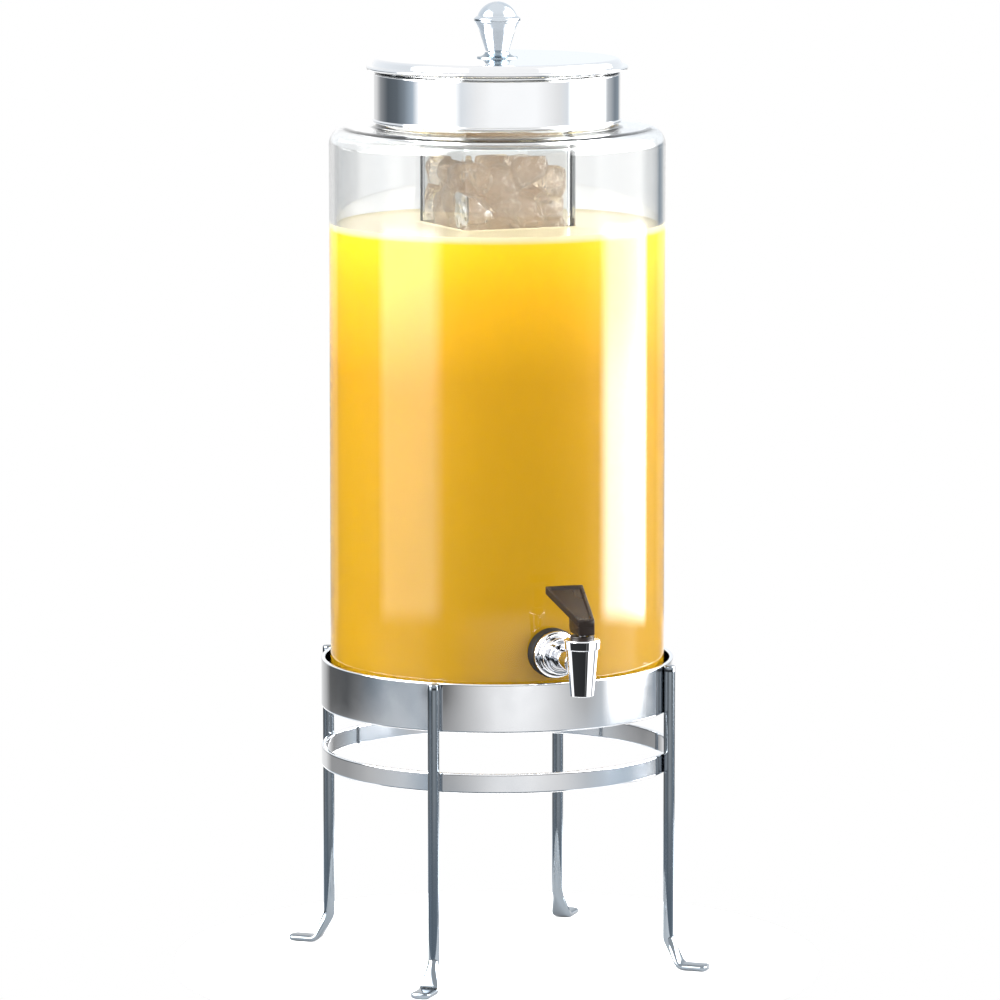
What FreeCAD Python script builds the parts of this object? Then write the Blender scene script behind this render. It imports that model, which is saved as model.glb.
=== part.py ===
"""Beverage dispenser: a clear jar with a lever faucet, an ice chamber and a lid, on a wire stand.

Millimetres. The origin is on the jar's axis, on the table that the feet rest on.
+Z is up, and the faucet points along -Y.
"""
import FreeCAD, Part
import math
import os

os.makedirs("parts", exist_ok=True)

Vec = FreeCAD.Vector
UP = Vec(0, 0, 1)
OUT = Vec(0, -1, 0)
SIDE = Vec(1, 0, 0)

# ---------------------------------------------------------------- stand
rod_r = 3.5                 # leg rod radius
jar_gap = 3.3               # jar to the inside of the band
band_wall = 2.5             # strip thickness of both bands
band_low = 159.0            # lower edge of the wide upper band
band_tall = 30.0
ring_drop = 25.0            # upper band's lower edge to the narrow ring's top
ring_tall = 12.0
seat_width = 11.0           # inward width of the ledge that carries the jar
seat_thick = 2.5
stand_turn = 6.5            # the stand's turn about Z away from square to the faucet, degrees
leg_count = 4
kink_high = 17.5            # height at which a leg turns outward
heel_reach = 8.0            # how far outward the leg's lower bend lies
toe_reach = 26.0            # how far outward the foot's tip lies
pad_thick = 4.0
pad_wide = 12.4
kink_bend_r = 9.0
heel_bend_r = 6.0

# ---------------------------------------------------------------- jar
jar_r = 103.0
jar_wall = 4.0
jar_floor = 5.0
jar_tall = 355.0            # foot of the jar to the flat of its shoulder
jar_foot_round = 8.0
shoulder_round = 10.5
neck_r = 74.0
neck_wall = 4.0
neck_tall = 32.5            # shoulder flat to the neck's rim
neck_foot_round = 3.0
rim_round = 1.5
drink_below = 54.5          # liquid's level under the inside of the shoulder
collar_gap = 0.1            # neck to trim collar
collar_thick = 1.2
collar_tall = 29.5
collar_bead = 0.8

# ---------------------------------------------------------------- ice chamber
chamber_side = 74.0         # across the flats of the square tube
chamber_wall = 3.0
chamber_corner_r = 4.0
chamber_clear = 25.5        # underside of its floor above the jar's inner floor
chamber_turn = 5.5          # its turn about Z, degrees
flange_thick = 2.5
flange_over = 1.0           # how far the flange stands past the neck
recess_deep = 8.0           # how far the flange dips into the neck
recess_wall = 2.5
recess_gap = 0.5            # recess to the inside of the neck
ice_gap = 1.0               # ice to the tube's walls and floor
ice_below = 41.0            # top of the ice under the flange's dipped floor

# ---------------------------------------------------------------- lid
lid_over = 6.0              # how far the rim stands past the neck
lid_rim_thick = 2.6
lid_rim_wide = 6.5
lid_shoulder_in = 5.5       # edge of the flat top, inward from the rim
lid_rise = 7.0              # rim's underside to the flat top
lid_sheet = 1.1
skirt_gap = 0.6             # locating skirt to the recess
skirt_thick = 1.0
skirt_above = 1.5           # skirt's lower edge above the recess floor
knob_base_r = 12.4
knob_base_tall = 4.3
knob_neck_r = 6.7
knob_ridge_r = 14.2
knob_dome_r = 12.0
knob_flank = 14.6           # height of the straight flank above the neck
knob_ridge_up = 19.5        # ridge above the knob's foot
knob_tall = 30.0
screw_r = 2.5
screw_head_r = 5.0
screw_head_tall = 2.4
screw_in_knob = 12.0

# ---------------------------------------------------------------- faucet
washer_clear = 3.0          # washer above the stand's band
spout_out = 56.0            # spout axis from the jar's skin
shank_r = 7.9               # threaded length through the wall
shank_neck_r = 6.2
shank_bore_r = 4.0
shank_past = 3.0            # shank past the nut, inside the jar
wall_hole_gap = 0.3
washer_r = 15.0
washer_thick = 7.5          # outer washer, from the jar's skin outward
inner_washer_r = 13.0
inner_washer_thick = 5.0    # from the jar's inside inward
nut_flats = 24.0
nut_thick = 9.0
plate_r = 14.2              # chrome plate against the washer
plate_thick = 4.2
boss_r = 11.2               # step on the chrome plate
boss_thick = 6.3
plate_edge = 1.2
spout_band_out = 1.4        # band past the spout's shoulder
spout_band_tall = 6.0
spout_up = 16.6             # spout's top above the shank's axis
spout_down = 17.7           # spout's tip below it
spout_wall = 2.5            # wall round the valve space at the shoulder
spout_tip_in = 0.2          # tip's radius less than the valve space's
outlet_r = 4.9
outlet_long = 11.2          # outlet bore, tip to valve seat
valve_r = 7.1               # bore of the valve space above the seat
cup_gap = 0.8               # seat cup to the wall of the valve space
cup_thick = 4.0
stem_r = 2.0
stem_gap = 0.2
stem_seat = 1.8             # how deep the stem sits in the cup
bonnet_lip = 0.2            # bonnet's collar past the valve space
bonnet_collar = 2.3
bonnet_plug = 6.6           # depth of the bonnet inside the spout
pin_r = 1.25
pin_gap = 0.05
pin_above = 5.6             # pin axis above the bonnet
eye_above = 2.4             # stem's end above the pin axis
spring_r = 4.0              # mean radius
spring_wire_r = 0.4
spring_turns = 5

# ---------------------------------------------------------------- lever
lever_gap = 0.9             # lever block above the bonnet at rest
lever_wide = 9.8
lever_front = 9.0           # block ahead of the pin
lever_back = 9.6            # block behind the pin
slot_gap = 0.5              # stem to the sides of its slot
slot_half = 6.4
slot_above = 3.4            # slot's roof above the pin
paddle_up = 4.5             # front edge of the paddle's face above the pin
paddle_rise = 15.1          # far edge of the paddle's face above its front edge
paddle_thick = 4.7
paddle_back = 33.2          # far edge behind the pin
paddle_wide = 23.8
dish_rim = 1.7
dish_deep = 1.3

# ---------------------------------------------------------------- heights and radii that follow
part_gap = 0.05             # between pieces of one body that are pressed or glued together
seat_top = band_low + seat_thick
band_r = jar_r + jar_gap + band_wall
band_top = band_low + band_tall
ring_low = band_low - ring_drop - ring_tall
jar_inside_r = jar_r - jar_wall
inside_low = seat_top + jar_floor
shoulder_top = seat_top + jar_tall
inside_top = shoulder_top - jar_wall
neck_in_r = neck_r - neck_wall
neck_top = shoulder_top + neck_tall
drink_top = inside_top - drink_below
chamber_low = inside_low + chamber_clear
recess_r = neck_in_r - recess_gap
recess_low = neck_top - recess_deep
recess_floor = recess_low + flange_thick
ice_top = recess_low - ice_below
flange_r = neck_r + flange_over
flange_top = neck_top + flange_thick
lid_r = neck_r + lid_over
lid_top_r = lid_r - lid_shoulder_in
lid_top = flange_top + lid_rise
leg_r = band_r + rod_r
lid_under = lid_top - lid_sheet
knob_foot = lid_top + knob_base_tall
plate_back = jar_r + washer_thick
boss_back = plate_back + plate_thick
boss_front = boss_back + boss_thick
nut_back = jar_inside_r - inner_washer_thick
shank_in = nut_back - nut_thick - shank_past
tap_high = band_top + washer_clear + washer_r
tap_reach = jar_r + spout_out
spout_top = tap_high + spout_up
spout_low = tap_high - spout_down
spout_shoulder_r = valve_r + spout_wall
spout_band_r = spout_shoulder_r + spout_band_out
spout_tip_r = valve_r - spout_tip_in
cup_r = valve_r - cup_gap
seat_high = spout_low + outlet_long
bonnet_top = spout_top + bonnet_collar
bonnet_r = valve_r + bonnet_lip
bonnet_low = spout_top - bonnet_plug
pin_high = bonnet_top + pin_above
paddle_low = pin_high + paddle_up
paddle_high = paddle_low + paddle_rise
slot_wide = 2.0 * (stem_r + slot_gap)


def turned(shape, degrees):
    """The shape turned about the jar's axis."""
    result = shape.copy()
    result.rotate(Vec(0, 0, 0), UP, degrees)
    return result


def rounded_wire(corners, to_point):
    """A closed wire through (u, v, fillet) corners, each fillet a tangent arc."""
    count = len(corners)
    starts = []
    for i in range(count):
        before = Vec(*corners[i - 1][:2], 0)
        here = Vec(*corners[i][:2], 0)
        after = Vec(*corners[(i + 1) % count][:2], 0)
        fillet = corners[i][2] if len(corners[i]) > 2 else 0.0
        if fillet <= 0.0:
            starts.append((here, None, here))
            continue
        back = (before - here).normalize()
        ahead = (after - here).normalize()
        half = back.getAngle(ahead) / 2.0
        cut = fillet / math.tan(half)
        middle = (back + ahead).normalize()
        top = here + middle * (fillet / math.sin(half) - fillet)
        starts.append((here + back * cut, top, here + ahead * cut))
    edges = []
    for i in range(count):
        first, top, last = starts[i]
        following = starts[(i + 1) % count][0]
        if top is not None:
            edges.append(Part.Arc(to_point(first), to_point(top), to_point(last)).toShape())
        if (following - last).Length > 1e-6:
            edges.append(Part.LineSegment(to_point(last), to_point(following)).toShape())
    return Part.Wire(edges)


def turning(corners):
    """A solid of revolution about the jar's axis from (radius, height, fillet) corners."""
    face = Part.Face(rounded_wire(corners, lambda p: Vec(p.x, 0, p.y)))
    return face.revolve(Vec(0, 0, 0), UP, 360)


def tap_turning(corners):
    """A solid of revolution about the shank's axis from (radius, reach, fillet) corners."""
    face = Part.Face(rounded_wire(corners, lambda p: Vec(p.x, -p.y, tap_high)))
    return face.revolve(Vec(0, 0, tap_high), OUT, 360)


def spout_turning(corners):
    """A solid of revolution about the spout's own axis from (radius, height, fillet) corners."""
    face = Part.Face(rounded_wire(corners, lambda p: Vec(p.x, -tap_reach, p.y)))
    return face.revolve(Vec(0, -tap_reach, 0), UP, 360)


def upright(radius, low, high):
    """A cylinder on the jar's axis."""
    return Part.makeCylinder(radius, high - low, Vec(0, 0, low), UP)


def tap_bar(radius, start, end):
    """A cylinder on the shank's axis between two reaches from the jar's axis."""
    return Part.makeCylinder(radius, end - start, Vec(0, -start, tap_high), OUT)


def spout_bar(radius, low, high):
    """A cylinder on the spout's axis."""
    return Part.makeCylinder(radius, high - low, Vec(0, -tap_reach, low), UP)


def square_bar(side, corner_r, low, high):
    """An upright square bar with rounded corners, turned as the ice chamber is."""
    half = side / 2.0
    corners = [(-half, -half, corner_r), (half, -half, corner_r), (half, half, corner_r), (-half, half, corner_r)]
    face = Part.Face(rounded_wire(corners, lambda p: Vec(p.x, p.y, low)))
    return turned(face.extrude(Vec(0, 0, high - low)), chamber_turn)


# ---------------------------------------------------------------- stand pieces

def band(low, tall):
    """A flat strip rolled into a ring."""
    inner = band_r - band_wall
    return upright(band_r, low, low + tall).cut(upright(inner, low, low + tall))


def make_seat():
    outer = band_r - band_wall - part_gap
    return upright(outer, band_low, seat_top).cut(upright(outer - seat_width, band_low, seat_top))


def make_leg():
    """A rod down the outside of the bands, kinked outward, with its end flattened into a pad."""
    heel_z = pad_thick / 2.0 + 1.0
    points = [Vec(0, -leg_r, band_top), Vec(0, -leg_r, kink_high), Vec(0, -leg_r - heel_reach, heel_z),
              Vec(0, -leg_r - heel_reach - kink_high / 2.0, heel_z)]
    edges = []
    last = points[0]
    for here, after, bend in ((points[1], points[2], kink_bend_r), (points[2], points[3], heel_bend_r)):
        back = (last - here).normalize()
        ahead = (after - here).normalize()
        half = back.getAngle(ahead) / 2.0
        cut = bend / math.tan(half)
        first = here + back * cut
        final = here + ahead * cut
        top_point = here + (back + ahead).normalize() * (bend / math.sin(half) - bend)
        edges.append(Part.LineSegment(last, first).toShape())
        edges.append(Part.Arc(first, top_point, final).toShape())
        last = final
    path = Part.Wire(edges)
    section = Part.Wire(Part.Circle(points[0], UP, rod_r).toShape())
    rod = path.makePipeShell([section], True, True)
    under = Part.makeBox(4 * leg_r, 4 * leg_r, 4 * rod_r, Vec(-2 * leg_r, -2 * leg_r, -4 * rod_r))
    pad_start = leg_r + heel_reach - pad_wide / 4.0
    pad_end = leg_r + toe_reach
    half = pad_wide / 2.0
    outline = [(-half, pad_start, half / 2.0), (half, pad_start, half / 2.0),
               (half, pad_end, half / 3.0), (-half, pad_end, half / 3.0)]
    face = Part.Face(rounded_wire(outline, lambda p: Vec(p.x, -p.y, 0)))
    pad = face.extrude(Vec(0, 0, pad_thick))
    top_edges = [edge for edge in pad.Edges if edge.BoundBox.ZMin > pad_thick - 0.01]
    pad = pad.makeFillet(pad_thick / 3.0, top_edges)
    return rod.cut(under).fuse(pad).removeSplitter()


# ---------------------------------------------------------------- jar pieces

def make_jar():
    profile = [(0, seat_top), (jar_r, seat_top, jar_foot_round), (jar_r, shoulder_top, shoulder_round),
               (neck_r, shoulder_top, neck_foot_round), (neck_r, neck_top, rim_round),
               (neck_in_r, neck_top, rim_round), (neck_in_r, inside_top, neck_foot_round),
               (jar_inside_r, inside_top, shoulder_round - jar_wall),
               (jar_inside_r, inside_low, jar_foot_round - 2.0), (0, inside_low)]
    hole = tap_bar(shank_r + wall_hole_gap, jar_inside_r - jar_wall, jar_r + jar_wall)
    return turning(profile).cut(hole)


def make_neck_collar():
    """A thin metal band round the neck, with a small bead at its foot."""
    inner = neck_r + collar_gap
    outer = inner + collar_thick
    low = neck_top - collar_tall
    bead_top = low + 2.0 * collar_bead
    return turning([(inner, low), (outer + collar_bead, low, collar_bead * 0.6),
                    (outer + collar_bead, bead_top, collar_bead * 0.6), (outer, bead_top),
                    (outer, neck_top), (inner, neck_top)])


def make_drink():
    """The liquid, clear of the ice chamber and of the faucet's inner end."""
    outer = jar_inside_r - 2.0 * part_gap
    low = inside_low + 2.0 * part_gap
    body = turning([(0, low), (outer, low, jar_foot_round - 2.0), (outer, drink_top), (0, drink_top)])
    chamber_gap = 6.0 * part_gap
    chamber_room = square_bar(chamber_side + 2.0 * chamber_gap, chamber_corner_r + chamber_gap,
                              chamber_low - chamber_gap, drink_top + 1.0)
    nut_room = tap_bar(washer_r, shank_in - 1.0, jar_r)
    return body.cut(chamber_room).cut(nut_room)


# ---------------------------------------------------------------- faucet pieces

def make_outer_washer():
    """Its inner face is hollowed to lie on the round jar."""
    ring = tap_bar(washer_r, jar_inside_r, plate_back).cut(tap_bar(shank_r + part_gap, jar_inside_r, plate_back))
    return ring.cut(upright(jar_r + part_gap, 0, shoulder_top))


def make_inner_washer():
    """Its outer face is rounded to lie on the inside of the jar."""
    ring = tap_bar(inner_washer_r, nut_back, jar_r).cut(tap_bar(shank_r + part_gap, nut_back, jar_r))
    return ring.common(upright(jar_inside_r - part_gap, 0, shoulder_top))


def make_shank_nut():
    corner = nut_flats / 2.0 / math.cos(math.radians(30))
    points = []
    for i in range(7):
        angle = math.radians(60 * i)
        points.append(Vec(corner * math.cos(angle), -nut_back, tap_high + corner * math.sin(angle)))
    bar = Part.Face(Part.makePolygon(points)).extrude(Vec(0, nut_thick, 0))
    cone = Part.makeCone(corner + nut_thick * 0.2, corner - nut_thick * 0.25, nut_thick,
                         Vec(0, -nut_back, tap_high), Vec(0, 1, 0))
    bore = tap_bar(shank_r + part_gap, nut_back - nut_thick, nut_back)
    return bar.common(cone).cut(bore)


def make_faucet_plate():
    """The stepped round plate between the washer and the spout's neck."""
    bore = shank_r + part_gap
    return tap_turning([(bore, plate_back), (plate_r, plate_back, plate_edge),
                        (plate_r, boss_back, plate_edge * 1.6), (boss_r, boss_back),
                        (boss_r, boss_front, plate_edge), (bore, boss_front)])


def make_spout():
    """Spout, neck and threaded shank: one casting, bored through to the valve space."""
    outside = spout_turning([(0, spout_low), (spout_tip_r, spout_low, 0.6),
                             (spout_shoulder_r, spout_top - spout_band_tall),
                             (spout_band_r, spout_top - spout_band_tall, 0.5),
                             (spout_band_r, spout_top, 0.8), (0, spout_top)])
    neck = tap_bar(shank_neck_r, boss_front - 1.0, tap_reach)
    shank = tap_bar(shank_r, shank_in, boss_front - part_gap)
    solid = outside.fuse(neck).fuse(shank)
    solid = solid.cut(spout_bar(valve_r, seat_high, spout_top))
    solid = solid.cut(spout_bar(outlet_r, spout_low, seat_high))
    solid = solid.cut(tap_bar(shank_bore_r, shank_in, tap_reach))
    return solid.removeSplitter()


def make_bonnet():
    """The black cap that closes the valve space and guides the stem."""
    bore = stem_r + stem_gap
    plug = valve_r - part_gap
    return spout_turning([(bore, bonnet_low), (plug, bonnet_low), (plug, spout_top),
                          (bonnet_r, spout_top), (bonnet_r, bonnet_top, 0.5), (bore, bonnet_top)])


def make_seat_cup():
    """The soft cup that closes the outlet, with a socket for the stem."""
    cup = spout_turning([(0, seat_high), (cup_r, seat_high, 0.5), (cup_r * 0.8, seat_high + cup_thick, 0.6),
                         (0, seat_high + cup_thick)])
    socket = spout_bar(stem_r + part_gap, seat_high + cup_thick - stem_seat, seat_high + cup_thick)
    return cup.cut(socket)


def make_stem():
    low = seat_high + cup_thick - stem_seat
    rod = spout_bar(stem_r, low, pin_high + eye_above)
    hole = Part.makeCylinder(pin_r, 4 * stem_r, Vec(-2 * stem_r, -tap_reach, pin_high), SIDE)
    return rod.cut(hole)


def make_lever_pin():
    long = lever_wide - 1.0
    return Part.makeCylinder(pin_r, long, Vec(-long / 2.0, -tap_reach, pin_high), SIDE)


def make_spring():
    low = seat_high + cup_thick + spring_wire_r
    high = bonnet_low - spring_wire_r
    pitch = (high - low) / spring_turns
    helix = Part.makeHelix(pitch, high - low, spring_r)
    section = Part.Wire(Part.Circle(Vec(spring_r, 0, 0), Vec(0, 1, 0), spring_wire_r).toShape())
    coil = Part.Wire(helix).makePipeShell([section], True, True)
    coil.translate(Vec(0, -tap_reach, low))
    return coil


# ---------------------------------------------------------------- lever

def paddle_section(reach, top, half_width, inset, depth):
    """A rectangle across the paddle at one reach, as a closed wire."""
    points = [Vec(-half_width + inset, -reach, top - depth), Vec(half_width - inset, -reach, top - depth),
              Vec(half_width - inset, -reach, top), Vec(-half_width + inset, -reach, top)]
    return Part.makePolygon(points + [points[0]])


def make_lever():
    """A block that straddles the stem and a dished paddle that leans back and widens."""
    front = tap_reach + lever_front
    back = tap_reach - lever_back
    tip = tap_reach - paddle_back
    low = bonnet_top + lever_gap
    slope = (paddle_high - paddle_low) / (front - tip)
    height_at_back = paddle_low + slope * (front - back)
    side_view = [(front, low, 0.8), (front, paddle_low), (back, height_at_back),
                 (back, low, 1.5)]
    face = Part.Face(rounded_wire(side_view, lambda p: Vec(-lever_wide / 2.0, -p.x, p.y)))
    block = face.extrude(Vec(lever_wide, 0, 0))
    near = paddle_section(front, paddle_low, lever_wide / 2.0, 0.0, paddle_thick)
    far = paddle_section(tip, paddle_high, paddle_wide / 2.0, 0.0, paddle_thick)
    paddle = Part.makeLoft([near, far], True, True)
    length = front - tip
    widening = (paddle_wide - lever_wide) / 2.0 / length
    dish_ends = []
    for reach in (front - dish_rim, tip + dish_rim):
        along = front - reach
        half = lever_wide / 2.0 + widening * along
        dish_ends.append(paddle_section(reach, paddle_low + slope * along + dish_deep, half, dish_rim,
                                        2.0 * dish_deep))
    dish = Part.makeLoft(dish_ends, True, True)
    slot = Part.makeBox(slot_wide, 2.0 * slot_half, pin_high + slot_above - low + 1.0,
                        Vec(-slot_wide / 2.0, -tap_reach - slot_half, low - 1.0))
    pin_hole = Part.makeCylinder(pin_r + pin_gap, 2.0 * lever_wide, Vec(-lever_wide, -tap_reach, pin_high), SIDE)
    return block.fuse(paddle).cut(dish).cut(slot).cut(pin_hole).removeSplitter()


# ---------------------------------------------------------------- ice chamber pieces

def make_chamber_flange():
    """A ring on the neck's rim, dipping into the neck to a floor with a square opening."""
    inner = recess_r - recess_wall
    profile = [(0, recess_low), (recess_r, recess_low, 1.0), (recess_r, neck_top), (flange_r, neck_top),
               (flange_r, flange_top, 0.8), (inner, flange_top, 0.8), (inner, recess_floor, 1.0),
               (0, recess_floor)]
    opening = square_bar(chamber_side - 2.0 * chamber_wall, chamber_corner_r - chamber_wall / 2.0,
                         recess_low - 1.0, recess_floor + 1.0)
    return turning(profile).cut(opening)


def make_chamber_tube():
    low = chamber_low + chamber_wall
    outer = square_bar(chamber_side, chamber_corner_r, low, recess_low)
    inner = square_bar(chamber_side - 2.0 * chamber_wall, chamber_corner_r - chamber_wall / 2.0, low, recess_low)
    return outer.cut(inner)


def make_chamber_floor():
    return square_bar(chamber_side, chamber_corner_r, chamber_low, chamber_low + chamber_wall)


def make_ice():
    """The heap of ice as one plain bar."""
    side = chamber_side - 2.0 * chamber_wall - 2.0 * ice_gap
    return square_bar(side, chamber_corner_r, chamber_low + chamber_wall + ice_gap, ice_top)


# ---------------------------------------------------------------- lid pieces

def make_lid():
    """A drawn sheet with a flat top, a sloping shoulder and a thick rolled rim."""
    rim_top = flange_top + lid_rim_thick
    rim_in = lid_r - lid_rim_wide
    shoulder_foot = rim_in + lid_rim_wide / 2.0
    shell = turning([(0, lid_top), (lid_top_r, lid_top, 3.5), (shoulder_foot, rim_top, 1.2),
                     (lid_r, rim_top, 1.2), (lid_r, flange_top, 1.2), (rim_in, flange_top, 0.4),
                     (rim_in, rim_top - lid_sheet), (lid_top_r - lid_sheet, lid_under, 2.4), (0, lid_under)])
    hole = upright(screw_r + stem_gap, flange_top, lid_top + 1.0)
    return shell.cut(hole)


def make_lid_skirt():
    outer = recess_r - recess_wall - skirt_gap
    low = recess_floor + skirt_above
    return upright(outer, low, lid_under).cut(upright(outer - skirt_thick, low, lid_under))


def make_knob_base():
    """The flared washer under the knob."""
    bore = screw_r + stem_gap
    foot = Vec(knob_base_r, 0, lid_top)
    edge = Vec(knob_base_r, 0, lid_top + 0.6)
    head = Vec(knob_neck_r - 0.3, 0, knob_foot)
    middle = Vec(knob_neck_r + 1.2, 0, lid_top + knob_base_tall * 0.45)
    start = Vec(bore, 0, lid_top)
    end = Vec(bore, 0, knob_foot)
    edges = [Part.LineSegment(start, foot).toShape(), Part.LineSegment(foot, edge).toShape(),
             Part.Arc(edge, middle, head).toShape(), Part.LineSegment(head, end).toShape(),
             Part.LineSegment(end, start).toShape()]
    return Part.Face(Part.Wire(edges)).revolve(Vec(0, 0, 0), UP, 360)


def make_knob():
    """A turned knob: a straight flank up to a ridge, and a smaller dome above it."""
    ridge = knob_foot + knob_ridge_up
    top = knob_foot + knob_tall
    flank_r = knob_ridge_r - 1.7
    start = Vec(0, 0, knob_foot)
    neck = Vec(knob_neck_r, 0, knob_foot)
    flank = Vec(flank_r, 0, knob_foot + knob_flank + 1.2)
    bulge = Vec(knob_ridge_r - 0.25, 0, ridge - 1.6)
    crest = Vec(knob_ridge_r, 0, ridge)
    ledge = Vec(knob_dome_r + 0.8, 0, ridge + 1.4)
    dome_foot = Vec(knob_dome_r, 0, ridge + 1.8)
    peak = Vec(0, 0, top)
    rise = top - ridge - 1.8
    sphere_r = (knob_dome_r ** 2 + rise ** 2) / (2.0 * rise)
    angle = math.asin(knob_dome_r / sphere_r) / 2.0
    over = Vec(sphere_r * math.sin(angle), 0, top - sphere_r + sphere_r * math.cos(angle))
    edges = [Part.LineSegment(start, neck).toShape(), Part.LineSegment(neck, flank).toShape(),
             Part.Arc(flank, bulge, crest).toShape(), Part.LineSegment(crest, ledge).toShape(),
             Part.LineSegment(ledge, dome_foot).toShape(), Part.Arc(dome_foot, over, peak).toShape(),
             Part.LineSegment(peak, start).toShape()]
    knob = Part.Face(Part.Wire(edges)).revolve(Vec(0, 0, 0), UP, 360)
    return knob.cut(upright(screw_r + part_gap, knob_foot, knob_foot + screw_in_knob))


def make_knob_screw():
    head = upright(screw_head_r, lid_under - screw_head_tall, lid_under)
    shank = upright(screw_r, lid_under - 1.0, knob_foot + screw_in_knob - 0.5)
    return head.fuse(shank).removeSplitter()


# ---------------------------------------------------------------- all pieces

pieces = {
    "upper_band": band(band_low, band_tall),
    "lower_ring": band(ring_low, ring_tall),
    "seat_ring": make_seat(),
    "jar": make_jar(),
    "neck_collar": make_neck_collar(),
    "drink": make_drink(),
    "outer_washer": make_outer_washer(),
    "inner_washer": make_inner_washer(),
    "shank_nut": make_shank_nut(),
    "faucet_plate": make_faucet_plate(),
    "spout": make_spout(),
    "bonnet": make_bonnet(),
    "seat_cup": make_seat_cup(),
    "stem": make_stem(),
    "lever_pin": make_lever_pin(),
    "valve_spring": make_spring(),
    "lever": make_lever(),
    "chamber_flange": make_chamber_flange(),
    "chamber_tube": make_chamber_tube(),
    "chamber_floor": make_chamber_floor(),
    "ice": make_ice(),
    "lid": make_lid(),
    "lid_skirt": make_lid_skirt(),
    "knob_base": make_knob_base(),
    "knob": make_knob(),
    "knob_screw": make_knob_screw(),
}

leg = make_leg()
first_leg = stand_turn - 180.0 / leg_count
for number in range(leg_count):
    pieces["leg_%d" % (number + 1)] = turned(leg, first_leg + number * 360.0 / leg_count)

for name, shape in pieces.items():
    if not shape.isValid() or shape.Volume <= 0 or len(shape.Solids) != 1:
        raise ValueError("%s is not one sound solid: %d solids, volume %.1f"
                         % (name, len(shape.Solids), shape.Volume))
    shape.Solids[0].exportStep("parts/%s.step" % name)
    box = shape.BoundBox
    print("%-15s volume %9.1f  x %7.1f %7.1f  y %7.1f %7.1f  z %7.1f %7.1f"
          % (name, shape.Volume, box.XMin, box.XMax, box.YMin, box.YMax, box.ZMin, box.ZMax))
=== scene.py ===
# %% [markdown]
# # A drink dispenser on a wire stand
# This lesson dresses the imported model of a drink dispenser: a clear jar with an ice chamber, a lid and a
# lever faucet, on a stand of metal rings and rods. Every visible piece is a surface worked out with numpy
# from a profile or an outline, in metres, in the frame that the imported model sets. The first cell loads
# that frame and keeps its box.

# %% Load the frame
import math
import bmesh
import bpy
import numpy as np
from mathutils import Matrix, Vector


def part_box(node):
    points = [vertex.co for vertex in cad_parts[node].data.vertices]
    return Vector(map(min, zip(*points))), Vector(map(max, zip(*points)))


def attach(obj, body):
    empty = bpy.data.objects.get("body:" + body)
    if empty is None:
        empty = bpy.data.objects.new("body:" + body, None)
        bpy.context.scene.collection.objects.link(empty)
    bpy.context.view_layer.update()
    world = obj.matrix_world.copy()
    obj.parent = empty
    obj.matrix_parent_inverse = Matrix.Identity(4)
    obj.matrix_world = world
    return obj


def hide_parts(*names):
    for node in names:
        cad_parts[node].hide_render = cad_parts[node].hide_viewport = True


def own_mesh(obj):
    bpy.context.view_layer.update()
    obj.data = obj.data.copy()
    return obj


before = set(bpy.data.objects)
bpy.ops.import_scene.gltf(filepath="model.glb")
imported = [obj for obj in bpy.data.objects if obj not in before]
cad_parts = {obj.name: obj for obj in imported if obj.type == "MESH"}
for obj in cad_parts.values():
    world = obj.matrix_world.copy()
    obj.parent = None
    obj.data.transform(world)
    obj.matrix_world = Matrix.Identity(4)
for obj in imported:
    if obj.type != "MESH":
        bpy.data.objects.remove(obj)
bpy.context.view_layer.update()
MM = 0.001


def heights(node):
    """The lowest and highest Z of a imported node."""
    low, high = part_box(node)
    return low.z, high.z


def half_width(node):
    """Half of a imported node's size along X, which is its radius where it is round."""
    low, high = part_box(node)
    return (high.x - low.x) / 2


# %% [markdown]
# ## Surfaces from rows
# Nearly every piece here is round or square in plan and changes with height. Blender's Spin tool or a Screw
# modifier could make the round ones, but one function that joins rows of points covers both. A row is an
# outline at one height, and rows joined in order make a skin. Where the first and last rows shrink to a
# point on the axis, they close the skin; where they don't, the last row joins the first, as in a ring.

# %% Skins
AROUND = 192


def grid_faces(rows, columns, ring):
    """Corner numbers of the quads between neighbouring rows and columns. Columns wrap round, and so do the
    rows of a ring."""
    row = np.arange(rows if ring else rows - 1)[:, None]
    column = np.arange(columns)[None, :]
    next_row = (row + 1) % rows
    next_column = (column + 1) % columns
    corners = [row * columns + column, row * columns + next_column,
               next_row * columns + next_column, next_row * columns + column]
    return np.stack(np.broadcast_arrays(*corners), axis=-1).reshape(-1, 4)


def skin(name, *grids, sharp_degrees=40.0):
    """One mesh from grids of points[row, column]. Doubles merge, so an end row at one point closes its
    grid. Faces turn outward, and shading is smooth except across edges sharper than that angle."""
    corners, faces, used = [], [], 0
    for grid in grids:
        rows, columns = grid.shape[:2]
        ring = bool(np.ptp(grid[0], axis=0).max() > 1e-7)
        corners.append(grid.reshape(-1, 3))
        faces.append(grid_faces(rows, columns, ring) + used)
        used += rows * columns
    mesh = bpy.data.meshes.new(name)
    mesh.from_pydata(np.concatenate(corners).tolist(), [], np.concatenate(faces).tolist())
    work = bmesh.new()
    work.from_mesh(mesh)
    bmesh.ops.remove_doubles(work, verts=work.verts, dist=1e-7)
    bmesh.ops.dissolve_degenerate(work, edges=work.edges, dist=1e-8)
    bmesh.ops.recalc_face_normals(work, faces=work.faces)
    work.to_mesh(mesh)
    work.free()
    mesh.shade_smooth()
    mesh.set_sharp_from_angle(angle=math.radians(sharp_degrees))
    piece = bpy.data.objects.new(name, mesh)
    bpy.context.scene.collection.objects.link(piece)
    return piece


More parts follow.
